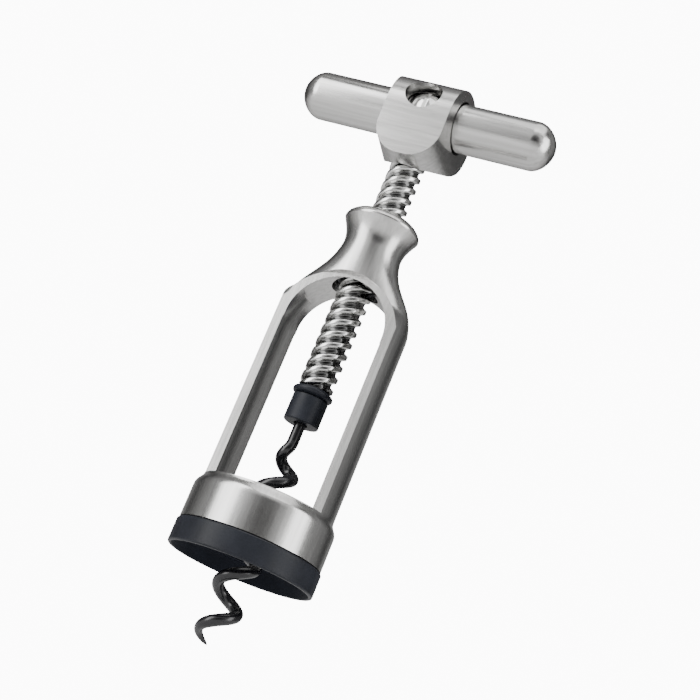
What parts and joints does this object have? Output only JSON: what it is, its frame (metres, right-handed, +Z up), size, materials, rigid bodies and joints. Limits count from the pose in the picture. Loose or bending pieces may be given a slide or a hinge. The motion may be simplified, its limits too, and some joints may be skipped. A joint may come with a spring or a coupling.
{
  "type": "bell corkscrew",
  "caption": "Bell-frame corkscrew with a T handle, a multi-start threaded spindle and a coated worm.",
  "frame": {"origin": "centre of the bell's mouth, level with the lower edge of the mouth ring", "axes": "+Z up the spindle towards the handle, X along the bar handle at rest, -Y the front window"},
  "size_m": [0.076, 0.04, 0.168],
  "materials": {
    "satin_steel": "satin, finely brushed",
    "polished_steel": "polished",
    "black_nylon": "satin moulded",
    "black_coating": "gloss non-stick coating on steel",
    "nut_brass": "machined"
  },
  "bodies": {
    "bell": {"bell_frame": "satin_steel", "mouth_ring": "black_nylon", "spindle_nut": "nut_brass", "guide_bush": "black_nylon"},
    "bumper": {"bumper_washer": "black_nylon"},
    "spindle": {"spindle": "polished_steel", "worm_collar": "black_nylon", "worm": "black_coating", "hub": "satin_steel", "handle_bar": "satin_steel", "bar_screw": "polished_steel"}
  },
  "joints": [
    {"name": "spindle_feed", "type": "slide", "parent": "bell", "child": "bumper", "axis": [0, 0, 1], "range_m": [-0.0153, 0.0312]},
    {"name": "spindle_turn", "type": "hinge", "parent": "bumper", "child": "spindle", "pos_m": [0, 0, 0.0503], "axis": [0, 0, 1], "range_deg": [-528, 1077]}
  ],
  "couplings": [
    {"joint": "spindle_turn", "follows": "spindle_feed", "rad_per_m": 601.84}
  ]
}
